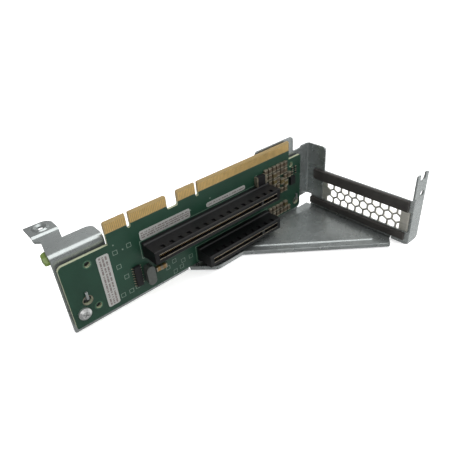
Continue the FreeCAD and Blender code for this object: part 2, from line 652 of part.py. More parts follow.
def top_flange():
    """Flange over the board's left shoulder, its strip and the raised screw tab."""
    low = FLANGE_TOP - SHEET_T
    fold_out = FLANGE_BEND_R + SHEET_T
    fold_y = WALL_Y + fold_out
    curl = bend("yz", fold_y, FLANGE_TOP - fold_out, FLANGE_BEND_R, fold_out, 90, WALL_LEFT, FLANGE_RIGHT)
    flat = plate("xy", [
        (WALL_LEFT, fold_y), (FLANGE_RIGHT, fold_y), (FLANGE_RIGHT, FLANGE_BACK_Y, FLANGE_CORNER_R),
        (STRIP_RIGHT - STRIP_TAPER, FLANGE_BACK_Y), (STRIP_RIGHT, TAB_FOLD_Y), (WALL_LEFT, TAB_FOLD_Y),
        (WALL_LEFT, FLANGE_JOG_Y + FLANGE_TAPER), (WALL_LEFT + FLANGE_TAPER, FLANGE_JOG_Y),
    ], low, FLANGE_TOP)
    rise_end = TAB_FOLD_Y + TAB_STEP
    top = FLANGE_TOP + TAB_STEP
    riser = plate("yz", [
        (TAB_FOLD_Y, low), (rise_end, low + TAB_STEP), (rise_end, top), (TAB_FOLD_Y, FLANGE_TOP),
    ], WALL_LEFT, STRIP_RIGHT)
    tab = plate("xy", [
        (WALL_LEFT, rise_end), (STRIP_RIGHT, rise_end),
        (STRIP_RIGHT, TAB_BACK_Y, TAB_CORNER_R), (WALL_LEFT, TAB_BACK_Y),
    ], low + TAB_STEP, top)
    centre = V(TAB_HOLE_X, TAB_HOLE_Y, top)
    rim = Part.makeCone(TAB_RIM_R, TAB_RIM_R - TAB_RIM_HEIGHT, TAB_RIM_HEIGHT, centre)
    dish = Part.makeCone(TAB_HOLE_R, TAB_DISH_R, TAB_RIM_HEIGHT, centre)
    hole = cylinder("xy", TAB_HOLE_X, TAB_HOLE_Y, TAB_HOLE_R, low, top + CUT_MARGIN)
    return [curl, flat, riser, tab, rim], [dish, hole]


def board_hook(x, z):
    """Finger lanced from the back wall: through the board's hole, then up in front of it."""
    bar_top = z - HOOK_HOLE_R + math.sqrt(HOOK_HOLE_R ** 2 - HOOK_WIDTH ** 2 / 4) - HOOK_GAP
    bar_low = bar_top - HOOK_T
    front = -HOOK_GAP - HOOK_T
    return plate("yz", [
        (WALL_Y, bar_low), (front, bar_low), (front, bar_low + HOOK_RISE + HOOK_T),
        (-HOOK_GAP, bar_low + HOOK_RISE + HOOK_T), (-HOOK_GAP, bar_top), (WALL_Y, bar_top),
    ], x - HOOK_WIDTH / 2, x + HOOK_WIDTH / 2)


def cage():
    """Bent sheet: back wall, base, I/O wall, ledge and top flange in one piece."""
    relief_left = IO_WALL_X - RELIEF_WIDTH - BEND_R
    base_parts, recess = base_plate()
    flange_parts, flange_cuts = top_flange()
    parts = [
        back_wall(),
        bend("yz", FOLD_Y, BEND_OUT, BEND_R, BEND_OUT, -90, BASE_TIP_X, relief_left),
        io_wall(),
        bend("xz", FOLD_X, BEND_OUT, BEND_R, BEND_OUT, -90, BASE_FAR_Y + BASE_END_CUT, CORNER_END_Y),
        bend("xy", FOLD_X, FOLD_Y, BEND_R, BEND_OUT, 0, RELIEF_TOP, CORNER_TOP),
        base_lip(),
    ]
    parts += base_parts + far_ledge() + flange_parts
    boss = cylinder("xz", SCREW_X, SCREW_Z, BOSS_R, BOARD_T, WALL_Y)
    parts.append(boss)
    parts += [board_hook(x, z) for x, z in HOOK_PLACES]
    body = fuse(parts)
    behind = WALL_Y + SHEET_T + CUT_MARGIN
    tapped = cylinder("xz", SCREW_X, SCREW_Z, SCREW_R + THREAD_CLEARANCE, BOARD_T - CUT_MARGIN, behind)
    half = HOOK_WIDTH / 2 + HOOK_WINDOW_MARGIN
    windows = [box(x - half, x + half, WALL_Y - CUT_MARGIN, behind, z, z + HOOK_WINDOW_HEIGHT)
               for x, z in HOOK_PLACES]
    return body.cut([recess, tapped, io_window()] + windows + flange_cuts)


# ================================================================ I/O opening pieces
def gasket(y_span, low, high):
    """Fabric-over-foam strip with rounded edges, stuck to the I/O wall's inner face."""
    return plate("xz", [
        (IO_WALL_X, low), (IO_WALL_X, high),
        (IO_WALL_X - GASKET_T, high, GASKET_EDGE_R), (IO_WALL_X - GASKET_T, low, GASKET_EDGE_R),
    ], y_span[0], y_span[1])


def hexagon(y, z, across_flats, x0, x1):
    """Pointy-top hexagonal hole through a wall normal to X."""
    radius = across_flats / math.sqrt(3)
    corners = []
    for i in range(6):
        angle = math.radians(60 * i + 30)
        corners.append((y + radius * math.cos(angle), z + radius * math.sin(angle)))
    return plate("yz", corners, x0, x1)


def slot_filler():
    """Perforated filler bracket: tapered tail, honeycomb field and outward tab."""
    inner = IO_WALL_X + SHEET_T
    outer = inner + FILLER_T
    low = FILLER_Z - FILLER_WIDTH / 2
    high = FILLER_Z + FILLER_WIDTH / 2
    tab_y = LEDGE_FRONT_Y + SHEET_T
    fold_y = tab_y + FILLER_BEND_OUT
    tail_y = tab_y + FILLER_LENGTH
    neck_y = tail_y - FILLER_TAIL_LENGTH
    shoulder_y = neck_y + FILLER_SHOULDER
    tail_low = FILLER_Z - FILLER_TAIL_WIDTH / 2
    tail_high = FILLER_Z + FILLER_TAIL_WIDTH / 2
    round_r = CORNER_SMALL_R
    face = plate("yz", [
        (fold_y, low), (neck_y, low, round_r), (shoulder_y, tail_low, round_r), (tail_y, tail_low, round_r),
        (tail_y, tail_high, round_r), (shoulder_y, tail_high, round_r),
        (neck_y, high, round_r), (fold_y, high),
    ], inner, outer)
    tab_left = inner + FILLER_BEND_OUT
    tab_right = inner + FILLER_TAB_REACH
    curl = bend("xy", tab_left, fold_y, FILLER_BEND_OUT - FILLER_T, FILLER_BEND_OUT, 180, low, high)
    notch_left = tab_right - FILLER_NOTCH_INSET - FILLER_NOTCH_WIDTH / 2
    notch_right = notch_left + FILLER_NOTCH_WIDTH
    notch_floor = high - FILLER_NOTCH_DEPTH
    tab = plate("xz", [
        (tab_left, low), (tab_right, low, round_r), (tab_right, high, round_r), (notch_right, high),
        (notch_right, notch_floor, FILLER_NOTCH_R), (notch_left, notch_floor, FILLER_NOTCH_R),
        (notch_left, high), (tab_left, high),
    ], tab_y, tab_y + FILLER_T)
    row_pitch = HEX_PITCH * math.sqrt(3) / 2
    across = HEX_PITCH - HEX_WEB
    field_end = HEX_FIRST_Y - (HEX_COUNT - 1) * HEX_PITCH - across / 2
    cut_from = inner - CUT_MARGIN
    cut_to = outer + CUT_MARGIN
    field = box(cut_from, cut_to, field_end, tail_y, low, high)
    holes = []
    for row in (-1, 0, 1):
        shift = HEX_PITCH / 2 * abs(row)
        count = HEX_COUNT + abs(row)
        for i in range(count):
            y = HEX_FIRST_Y + shift - i * HEX_PITCH
            hole = hexagon(y, FILLER_Z + row * row_pitch, across, cut_from, cut_to)
            holes.append(hole.common(field) if i >= HEX_COUNT else hole)
    return fuse([face, curl, tab]).cut(holes)


# ================================================================ fasteners
def board_screw():
    """Pan-head machine screw with a cross recess, driven into the cage's boss."""
    rim = cylinder("xz", SCREW_X, SCREW_Z, SCREW_HEAD_R, -SCREW_RIM_H, 0)
    crown = Part.makeCone(SCREW_HEAD_R, SCREW_CROWN_R, SCREW_HEAD_H - SCREW_RIM_H,
                          V(SCREW_X, -SCREW_RIM_H, SCREW_Z), V(0, -1, 0))
    head = fuse([rim, crown])
    shank = cylinder("xz", SCREW_X, SCREW_Z, SCREW_R, 0, SCREW_LENGTH)
    half = SCREW_CROSS_WIDTH / 2
    arm = SCREW_CROSS_ARM
    top = -SCREW_HEAD_H - CUT_MARGIN
    floor = -SCREW_HEAD_H + SCREW_CROSS_DEPTH
    cross = [box(SCREW_X - arm, SCREW_X + arm, top, floor, SCREW_Z - half, SCREW_Z + half),
             box(SCREW_X - half, SCREW_X + half, top, floor, SCREW_Z - arm, SCREW_Z + arm)]
    for slot in cross:
        slot.rotate(V(SCREW_X, 0, SCREW_Z), V(0, 1, 0), SCREW_CROSS_TURN)
    return fuse([head, shank]).cut(cross)


# ================================================================ parts on the board
def label(x0, x1, z0, z1):
    """Thin sticker with clipped corners."""
    clip = LABEL_CORNER
    return plate("xz", [(x0 + clip, z0), (x1 - clip, z0), (x1, z0 + clip), (x1, z1 - clip),
                        (x1 - clip, z1), (x0 + clip, z1), (x0, z1 - clip), (x0, z0 + clip)], -LABEL_T, 0)


def chip_body(x0, x1, z0, z1, height, lift=0.0):
    """Moulded package with a small draft, flat on the board or lifted off it by its leads."""
    draft = CHIP_DRAFT
    lower = outline("xz", [(x0, z0), (x1, z0), (x1, z1), (x0, z1)], -lift)
    upper = outline("xz", [(x0 + draft, z0 + draft), (x1 - draft, z0 + draft),
                           (x1 - draft, z1 - draft), (x0 + draft, z1 - draft)], -height)
    return Part.makeLoft([lower, upper], True)


def chip_leads(x0, x1, z0, z1, count, height):
    """Leads along both long sides: from the package's middle down to a foot on the board."""
    mid = -height / 2
    leads = []
    for i in range(count):
        centre = z0 + (z1 - z0) * (i + 0.5) / count
        for edge, side in ((x0, -1), (x1, 1)):
            reach = side * LEAD_REACH
            profile = [(edge, mid), (edge, mid - LEAD_T), (edge + reach * LEAD_KNEE, -LEAD_T),
                       (edge + reach, -LEAD_T), (edge + reach, 0), (edge + reach * LEAD_HEEL, 0)]
            leads.append(plate("xy", profile, centre - LEAD_WIDTH / 2, centre + LEAD_WIDTH / 2))
    return leads


def chip_parts(places, size, height, vertical=True):
    """Rectangular chip components standing on the board, centred on each place."""
    length, width = size
    half_x = (width if vertical else length) / 2
    half_z = (length if vertical else width) / 2
    return [box(x - half_x, x + half_x, -height, 0, z - half_z, z + half_z) for x, z in places]


def grid(x0, z0, dx, dz, columns, rows, skip=()):
    """Places of a regular cluster, without the skipped (column, row) ones."""
    places = []
    for column in range(columns):
        for row in range(rows):
            if (column, row) not in skip:
                places.append((x0 + column * dx, z0 + row * dz))
    return places


def plastic_guide():
    """Rounded plastic guide in the corner under the top-left flange."""
    left = WALL_LEFT - GUIDE_OVERHANG
    right = left + GUIDE_LENGTH
    near = WALL_Y + SHEET_T
    far = near + GUIDE_DEPTH
    top = FLANGE_TOP - SHEET_T
    low = top - GUIDE_HEIGHT
    plan = plate("xy", [
        (left, near, CORNER_SMALL_R), (right, near), (right, far), (left, far, GUIDE_CORNER_R),
    ], low, top)
    side = plate("yz", [
        (near, low), (far, low), (far, top), (near + FLANGE_BEND_R, top), (near, top - FLANGE_BEND_R),
    ], left, right)
    return plan.common(side)


def bank_places():
    """Places of the ceramic and the tantalum parts beside the two slots."""
    upper = grid(BANK_X, BANK_Z, BANK_DX, BANK_DZ, 7, 5, BANK_GAPS)
    lower = grid(LOW_BANK_X, LOW_BANK_Z, BANK_DX, BANK_DZ, 6, 2, LOW_BANK_GAPS)
    tantalum = [(BANK_X + 2 * BANK_DX, BANK_Z + 2 * BANK_DZ), (BANK_X + 2 * BANK_DX, BANK_Z + 3 * BANK_DZ),
                (BANK_X + 4 * BANK_DX, BANK_Z + 1.5 * BANK_DZ), (BANK_X + 5 * BANK_DX, BANK_Z + BANK_DZ),
                (LOW_BANK_X + 4 * BANK_DX, LOW_BANK_Z + BANK_DZ)]
    return upper + lower, tantalum


def crystal_can():
    """Oval metal can of the clock crystal."""
    left, right, low, high = CRYSTAL
    corners = ((left, low), (right, low), (right, high), (left, high))
    return plate("xz", [corner + (CRYSTAL_END_R,) for corner in corners], -CRYSTAL_HEIGHT, 0)


# ================================================================ build
def build():
    os.makedirs("parts", exist_ok=True)
    save("main_bracket", [cage()])
    save("riser_board", [riser_board()])
    save("fingers_x4_front", pad_row(LOWER_TONGUE_KEY_X, LOWER_TONGUE_LONG_COUNT, True))
    save("fingers_x4_back", pad_row(LOWER_TONGUE_KEY_X, LOWER_TONGUE_LONG_COUNT, False))
    save("fingers_x16_front", pad_row(UPPER_TONGUE_KEY_X, UPPER_TONGUE_LONG_COUNT, True))
    save("fingers_x16_back", pad_row(UPPER_TONGUE_KEY_X, UPPER_TONGUE_LONG_COUNT, False))

    for name, long_count, z in (("slot_x16", 71, UPPER_SLOT_Z), ("slot_x8", 38, LOWER_SLOT_Z)):
        save(name + "_housing", [slot_housing(long_count, z)])
        save(name + "_contacts", slot_contacts(long_count, z))

    save("slot_filler", [slot_filler()])
    lower_top = WINDOW_LOW - GASKET_GAP
    save("gasket_upper", [gasket(GASKET_UPPER_Y, IO_WALL_TOP - GASKET_UPPER_HEIGHT, IO_WALL_TOP)])
    save("gasket_lower", [gasket(GASKET_LOWER_Y, lower_top - GASKET_LOWER_HEIGHT, lower_top)])
    save("board_screw", [board_screw()])
    save("plastic_guide", [plastic_guide()])

    save("label_tall", [label(*LABEL_TALL)])
    save("label_wide", [label(*LABEL_WIDE)])
    save("label_narrow", [label(*LABEL_NARROW)])

    save("clock_chip", [chip_body(*CLOCK_CHIP, CLOCK_CHIP_HEIGHT, CHIP_LIFT)])
    save("clock_chip_leads", chip_leads(*CLOCK_CHIP, CLOCK_LEAD_COUNT, CLOCK_CHIP_HEIGHT))
    save("crystal_can", [crystal_can()])
    save("power_inductor", [chip_body(*INDUCTOR, INDUCTOR_HEIGHT)])
    save("regulator_chip", [chip_body(*REGULATOR, REGULATOR_HEIGHT)])
    ceramic, tantalum = bank_places()
    save("ceramic_capacitors", chip_parts(ceramic, CERAMIC_SIZE, CERAMIC_HEIGHT))
    save("tantalum_capacitors", chip_parts(tantalum, TANTALUM_SIZE, TANTALUM_HEIGHT))
    save("bulk_capacitors", chip_parts(BULK_PLACES, BULK_SIZE, BULK_HEIGHT, False))
    resistors = grid(RESISTOR_X, RESISTOR_Z, RESISTOR_PITCH, RESISTOR_PITCH, 2, 2)
    save("chip_resistors", chip_parts(resistors, RESISTOR_SIZE, RESISTOR_HEIGHT))


build()
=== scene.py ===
"""Looks of a PCIe riser card: finishes for its parts, and its printed, plated and tinned details."""
import math
import random

import bmesh
import bpy
from mathutils import Matrix, Vector


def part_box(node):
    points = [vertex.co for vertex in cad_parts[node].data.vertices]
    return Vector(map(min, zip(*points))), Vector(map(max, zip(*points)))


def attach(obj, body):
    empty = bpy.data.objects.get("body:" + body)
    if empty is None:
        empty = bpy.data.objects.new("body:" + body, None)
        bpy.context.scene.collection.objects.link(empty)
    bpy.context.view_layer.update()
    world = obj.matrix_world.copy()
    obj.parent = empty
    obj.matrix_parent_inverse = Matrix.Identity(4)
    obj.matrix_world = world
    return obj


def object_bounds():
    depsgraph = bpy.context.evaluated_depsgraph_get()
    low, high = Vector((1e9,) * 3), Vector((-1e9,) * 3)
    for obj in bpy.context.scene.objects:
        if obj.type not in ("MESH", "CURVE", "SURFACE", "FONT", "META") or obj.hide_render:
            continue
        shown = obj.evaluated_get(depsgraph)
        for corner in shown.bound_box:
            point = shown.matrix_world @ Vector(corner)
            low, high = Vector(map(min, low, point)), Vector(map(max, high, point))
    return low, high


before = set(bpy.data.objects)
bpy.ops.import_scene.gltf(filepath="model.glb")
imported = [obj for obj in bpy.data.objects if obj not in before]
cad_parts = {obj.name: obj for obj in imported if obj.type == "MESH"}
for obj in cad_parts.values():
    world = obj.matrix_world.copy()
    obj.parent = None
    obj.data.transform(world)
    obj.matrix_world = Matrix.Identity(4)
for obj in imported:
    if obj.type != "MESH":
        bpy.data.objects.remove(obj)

bl_info = {
    "name": "Riser Card Looks",
    "version": (1, 0, 0),
    "blender": (4, 5, 0),
    "location": "View3D > Sidebar > Riser",
    "description": "Finishes the parts of a riser card and adds its printed, plated and tinned details",
    "category": "Object",
}

CAD_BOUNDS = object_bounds()
MM = 0.001
BOX_FACES = ((0, 1, 3, 2), (4, 6, 7, 5), (0, 4, 5, 1), (2, 3, 7, 6), (0, 2, 6, 4), (1, 5, 7, 3))


# ---------------------------------------------------------------- places read from the frame
def span(node):
    """Lowest and highest corner of a part, in millimetres."""
    low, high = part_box(node)
    return low / MM, high / MM


def solids_of(node):
    """Boxes, in millimetres, of the separate solids that one node holds, from left to right."""
    gathered = bmesh.new()
    gathered.from_mesh(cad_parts[node].data)
    bmesh.ops.remove_doubles(gathered, verts=gathered.verts, dist=1e-6)
    waiting = set(gathered.verts)
    boxes = []
    while waiting:
        stack = [waiting.pop()]
        corners = []
        while stack:
            vertex = stack.pop()
            corners.append(vertex.co / MM)
            for edge in vertex.link_edges:
                other = edge.other_vert(vertex)
                if other in waiting:
                    waiting.remove(other)
                    stack.append(other)
        low = Vector([min(c[axis] for c in corners) for axis in range(3)])
        high = Vector([max(c[axis] for c in corners) for axis in range(3)])
        boxes.append((low, high))
    gathered.free()
    return sorted(boxes, key=lambda pair: (round(pair[0].x, 2), round(pair[0].z, 2)))


BOARD_LOW = span("riser_board")[0]


# ---------------------------------------------------------------- building small solids
class Solids:
    """Simple solids gathered into one mesh; sizes are in millimetres."""

    def __init__(self):
        self.mesh = bmesh.new()

    def box(self, low, high):
        corners = [self.mesh.verts.new((x * MM, y * MM, z * MM))
                   for x in (low[0], high[0]) for y in (low[1], high[1]) for z in (low[2], high[2])]
        for face in BOX_FACES:
            self.mesh.faces.new([corners[i] for i in face])

    def circle(self, centre, radius, y, steps):
        """Corners round a circle that lies in the XZ plane at y."""
        corners = []
        for i in range(steps):
            angle = math.tau * i / steps
            x = centre[0] + radius * math.cos(angle)
            z = centre[1] + radius * math.sin(angle)
            corners.append(self.mesh.verts.new((x * MM, y * MM, z * MM)))
        return corners

    def band(self, first, second):
        """Faces between two circles with as many corners each."""
        for i in range(len(first)):
            j = (i + 1) % len(first)
            self.mesh.faces.new((first[i], first[j], second[j], second[i]))

    def ring(self, centre, inner, outer, y0, y1, steps=36):
        """Flat ring in an XZ plane, from y0 to y1."""
        corners = ((inner, y0), (outer, y0), (outer, y1), (inner, y1))
        circles = [self.circle(centre, radius, y, steps) for radius, y in corners]
        for i in range(len(circles)):
            self.band(circles[i - 1], circles[i])

    def disc(self, centre, radius, y0, y1, steps=20):
        """Flat round disc in an XZ plane, from y0 to y1."""
        front = self.circle(centre, radius, y0, steps)
        back = self.circle(centre, radius, y1, steps)
        self.mesh.faces.new(front)
        self.mesh.faces.new(back)
        self.band(front, back)

    def frame_line(self, left, right, low, high, width, y0, y1):
        """Rectangle drawn as four thin strips on an XZ plane."""
        self.box((left, y0, low), (right, y1, low + width))
        self.box((left, y0, high - width), (right, y1, high))
        self.box((left, y0, low + width), (left + width, y1, high - width))
        self.box((right - width, y0, low + width), (right, y1, high - width))

    def piece(self, name, material):
        """Turns the mesh into an object that rides with the card."""
        bmesh.ops.recalc_face_normals(self.mesh, faces=self.mesh.faces)
        data = bpy.data.meshes.new(name)
        self.mesh.to_mesh(data)
        self.mesh.free()
        made = bpy.data.objects.new(name, data)
        bpy.context.scene.collection.objects.link(made)
        data.materials.append(material)
        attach(made, "root")
        return made


# ---------------------------------------------------------------- building materials
class Finish:
    """A node material built up around one Principled shader."""

    def __init__(self, name, colour, metallic, roughness):
        self.material = bpy.data.materials.new(name)
        self.material.use_nodes = True
        self.tree = self.material.node_tree
        self.shader = self.tree.nodes["Principled BSDF"]
        self.shader.inputs["Base Color"].default_value = (*colour, 1.0)
        self.shader.inputs["Metallic"].default_value = metallic
        self.shader.inputs["Roughness"].default_value = roughness
        self.place = self.node("ShaderNodeTexCoord").outputs["Object"]

    def node(self, kind, **settings):
        made = self.tree.nodes.new(kind)
        for name, value in settings.items():
            setattr(made, name, value)
        return made

    def link(self, source, target):
        self.tree.links.new(source, target)

    def noise(self, scale, detail=3.0, roughness=0.55):
        """A soft cloud of grey, finer as the scale rises."""
        made = self.node("ShaderNodeTexNoise")
        made.inputs["Scale"].default_value = scale
        made.inputs["Detail"].default_value = detail
        made.inputs["Roughness"].default_value = roughness
        self.link(self.place, made.inputs["Vector"])
        return made.outputs["Fac"]

    def cells(self, scale):
        """A random grey for each cell of a crystal-like pattern."""
        made = self.node("ShaderNodeTexVoronoi")
        made.inputs["Scale"].default_value = scale
        self.link(self.place, made.inputs["Vector"])
        grey = self.node("ShaderNodeRGBToBW")
        self.link(made.outputs["Color"], grey.inputs["Color"])
        return grey.outputs["Val"]

    def ranged(self, value, low, high, to_low, to_high):
        """Maps a value from low..high to to_low..to_high, clamped."""
        made = self.node("ShaderNodeMapRange")
        for name, number in (("From Min", low), ("From Max", high), ("To Min", to_low), ("To Max", to_high)):
            made.inputs[name].default_value = number
        self.link(value, made.inputs["Value"])
        return made.outputs["Result"]

    def reckon(self, first, second, operation="ADD"):
        """One sum on two values; the second is a number or a socket."""
        made = self.node("ShaderNodeMath", operation=operation)
        self.link(first, made.inputs[0])
        if isinstance(second, (int, float)):
            made.inputs[1].default_value = second
        else:
            self.link(second, made.inputs[1])
        return made.outputs["Value"]

    def mix(self, factor, first, second):
        """Blends two colours; each is a colour or a socket."""
        made = self.node("ShaderNodeMix", data_type="RGBA")
        self.link(factor, made.inputs["Factor"])
        for socket, value in ((made.inputs[6], first), (made.inputs[7], second)):
            if isinstance(value, bpy.types.NodeSocket):
                self.link(value, socket)
            else:
                socket.default_value = (*value, 1.0)
        return made.outputs[2]

    def scaled(self, colour, value):
        """Multiplies a colour by a grey value."""
        made = self.node("ShaderNodeVectorMath", operation="SCALE")
        if isinstance(colour, bpy.types.NodeSocket):
            self.link(colour, made.inputs[0])
        else:
            made.inputs[0].default_value = colour
        self.link(value, made.inputs["Scale"])
        return made.outputs["Vector"]

    def colour(self, socket):
        self.link(socket, self.shader.inputs["Base Color"])

    def rough(self, socket):
        self.link(socket, self.shader.inputs["Roughness"])

    def bump(self, height, distance, strength, edge=0.0):
        """Fine relief; with an edge radius, corners catch the light as if rounded."""
        made = self.node("ShaderNodeBump")
        made.inputs["Strength"].default_value = strength
        made.inputs["Distance"].default_value = distance
        if edge > 0.0:
            rounded = self.node("ShaderNodeBevel", samples=6)
            rounded.inputs["Radius"].default_value = edge
            self.link(rounded.outputs["Normal"], made.inputs["Normal"])
        self.link(height, made.inputs["Height"])
        self.link(made.outputs["Normal"], self.shader.inputs["Normal"])


def dress(node, material):
    """Gives a CAD part its one material."""
    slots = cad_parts[node].data.materials
    slots.clear()
    slots.append(material)


def plain(name, colour, metallic, roughness, mottle=0.08, scale=900.0):
    """Even finish with a faint mottle."""
    finish = Finish(name, colour, metallic, roughness)
    grain = finish.noise(scale)
    finish.colour(finish.scaled(colour, finish.ranged(grain, 0.3, 0.7, 1.0 - mottle, 1.0 + mottle)))
    return finish


# ---------------------------------------------------------------- materials
TRACE_SHARE = 0.6              # of a trace's width that shows through the mask
TRACE_RUN = 16.0               # trace pitches from one break in a trace to the next
MASK_GAP = 0.0002              # metres from the mask's top edge up to the pads, and the edge's own blur


def galvanised_sheet(settings):
    """Zinc-coated steel: a faint spangle, soft blotches and small bright specks."""
    finish = Finish("galvanised_sheet", settings.steel_colour, settings.steel_metallic,
                    settings.steel_roughness)
    spangle = finish.ranged(finish.cells(420.0), 0.2, 0.8, 0.965, 1.03)
    blotch = finish.ranged(finish.noise(38.0, 4.0), 0.35, 0.65, 0.90, 1.08)
    speck = finish.ranged(finish.noise(1300.0, 1.0), 0.68, 0.76, 0.0, 0.06)
    tone = finish.reckon(finish.reckon(spangle, blotch, "MULTIPLY"), speck)
    finish.colour(finish.scaled(settings.steel_colour, tone))
    wear = finish.ranged(finish.noise(120.0, 5.0), 0.3, 0.7, -0.06, 0.06)
    finish.rough(finish.reckon(wear, settings.steel_roughness))
    finish.bump(finish.noise(700.0, 2.0), 0.00002, 0.12, settings.edge_radius)
    return finish.material


def solder_mask(settings):
    """Green mask over copper traces, with bare laminate on the cut edges and between the gold pads."""
    finish = Finish("solder_mask", settings.mask_colour, 0.0, settings.mask_roughness)
    axes = finish.node("ShaderNodeSeparateXYZ")
    finish.link(finish.place, axes.inputs["Vector"])
    flat = finish.node("ShaderNodeCombineXYZ")
    finish.link(axes.outputs["X"], flat.inputs["X"])
    finish.link(axes.outputs["Z"], flat.inputs["Y"])
    runs = finish.node("ShaderNodeTexBrick", offset=0.37, squash=1.0)
    runs.inputs["Scale"].default_value = 1.0
    runs.inputs["Mortar Size"].default_value = settings.trace_width * TRACE_SHARE
    runs.inputs["Mortar Smooth"].default_value = 0.3
    runs.inputs["Brick Width"].default_value = settings.trace_pitch * TRACE_RUN
    runs.inputs["Row Height"].default_value = settings.trace_pitch
    finish.link(flat.outputs["Vector"], runs.inputs["Vector"])
    where = finish.ranged(finish.noise(45.0, 2.0), 0.46, 0.58, 0.0, 1.0)
    trace = finish.reckon(runs.outputs["Fac"], where, "MULTIPLY")
    mask = finish.scaled(settings.mask_colour, finish.ranged(finish.noise(60.0, 3.0), 0.3, 0.7, 0.88, 1.12))
    mask = finish.mix(finish.reckon(trace, 0.35, "MULTIPLY"), mask, settings.trace_colour)
    mask_top = span("fingers_x16_front")[0].z * MM - MASK_GAP
    bare = finish.ranged(axes.outputs["Z"], mask_top - MASK_GAP, mask_top, 0.0, 1.0)
    normal = finish.node("ShaderNodeNewGeometry").outputs["Normal"]
    facing = finish.node("ShaderNodeSeparateXYZ")
    finish.link(normal, facing.inputs["Vector"])
    sideways = finish.reckon(facing.outputs["Y"], 0.0, "ABSOLUTE")
    cut_edge = finish.ranged(sideways, 0.4, 0.6, 1.0, 0.0)
    painted = finish.mix(cut_edge, mask, settings.laminate_colour)
    finish.colour(finish.mix(bare, painted, settings.bevel_colour))
    finish.shader.inputs["Specular IOR Level"].default_value = 0.4
    finish.bump(trace, 0.00003, 0.3)
    return finish.material


def gold_plate(name, colour, roughness=0.34):
    """Thin gold over nickel, with slow changes of tone."""
    finish = Finish(name, colour, 0.75, roughness)
    finish.colour(finish.scaled(colour, finish.ranged(finish.noise(300.0, 3.0), 0.3, 0.7, 0.86, 1.14)))
    return finish.material


def moulded_black(settings):
    """Glass-filled black plastic with a fine matt grain."""
    finish = Finish("moulded_black", settings.housing_colour, 0.0, settings.housing_roughness)
    tone = finish.ranged(finish.noise(500.0, 4.0), 0.3, 0.7, 0.8, 1.3)
    finish.colour(finish.scaled(settings.housing_colour, tone))
    finish.shader.inputs["Specular IOR Level"].default_value = 0.3
    finish.bump(finish.noise(2600.0, 2.0), 0.00001, 0.3)
    return finish.material


def nickel_sheet(settings):
    """Nickel-plated filler with a faint rolling grain along it."""
    finish = Finish("nickel_sheet", settings.filler_colour, 0.75, settings.filler_roughness)
    stretch = finish.node("ShaderNodeMapping")
    stretch.inputs["Scale"].default_value = (1.0, 0.06, 1.0)
    finish.link(finish.place, stretch.inputs["Vector"])
    grain = finish.node("ShaderNodeTexNoise")
    grain.inputs["Scale"].default_value = 1500.0
    finish.link(stretch.outputs["Vector"], grain.inputs["Vector"])
    tone = finish.ranged(grain.outputs["Fac"], 0.3, 0.7, 0.9, 1.1)
    finish.colour(finish.scaled(settings.filler_colour, tone))
    return finish.material


def gasket_cloth(settings):
    """Conductive cloth stretched over foam: a tight weave and soft dents."""
    finish = Finish("gasket_cloth", settings.gasket_colour, 0.25, 0.62)
    thread = finish.node("ShaderNodeTexWave", bands_direction="DIAGONAL")
    thread.inputs["Scale"].default_value = 900.0
    finish.link(finish.place, thread.inputs["Vector"])
    tone = finish.ranged(thread.outputs["Fac"], 0.0, 1.0, 0.85, 1.15)
    tone = finish.reckon(tone, finish.ranged(finish.noise(70.0, 3.0), 0.3, 0.7, 0.8, 1.25), "MULTIPLY")
    finish.colour(finish.scaled(settings.gasket_colour, tone))
    finish.bump(thread.outputs["Fac"], 0.00002, 0.4)
    return finish.material


# ---------------------------------------------------------------- settings
def colour_setting(name, description, default):
    return bpy.props.FloatVectorProperty(name=name, description=description, subtype="COLOR", size=3,
                                         min=0.0, max=1.0, default=default)


def length_setting(name, description, millimetres):
    return bpy.props.FloatProperty(name=name, description=description, unit="LENGTH", min=0.0,
                                   precision=5, default=millimetres * MM)


def share_setting(name, description, default):
    return bpy.props.FloatProperty(name=name, description=description, subtype="FACTOR",
                                   min=0.0, max=1.0, default=default)


def strength_setting(name, description, default):
    return bpy.props.FloatProperty(name=name, description=description, min=0.0, default=default)


def angle_setting(name, description, degrees):
    return bpy.props.FloatProperty(name=name, description=description, subtype="ANGLE",
                                   default=math.radians(degrees))


class RiserBoardSettings(bpy.types.PropertyGroup):
    mask_colour: colour_setting("Solder mask", "Green of the board's solder mask", (0.0075, 0.041, 0.023))
    mask_roughness: share_setting("Mask roughness", "Roughness of the solder mask", 0.42)
    trace_colour: colour_setting("Trace", "Mask colour over copper traces", (0.015, 0.070, 0.039))
    trace_width: length_setting("Trace width", "Width of a copper trace", 0.15)
    trace_pitch: length_setting("Trace pitch", "Spacing of the copper traces", 0.8)
    laminate_colour: colour_setting("Laminate", "Bare laminate on the cut edges", (0.38, 0.41, 0.28))
    bevel_colour: colour_setting("Bevel", "Tan laminate between the pads and on the tongues' bevel",
                                 (0.33, 0.235, 0.10))
    silk_colour: colour_setting("Silkscreen", "Printed legend lines", (0.13, 0.19, 0.15))
    silk_width: length_setting("Silkscreen width", "Width of a legend line", 0.28)
    ring_colour: colour_setting("Hole rings", "Bare laminate round the pilot holes", (0.035, 0.10, 0.055))


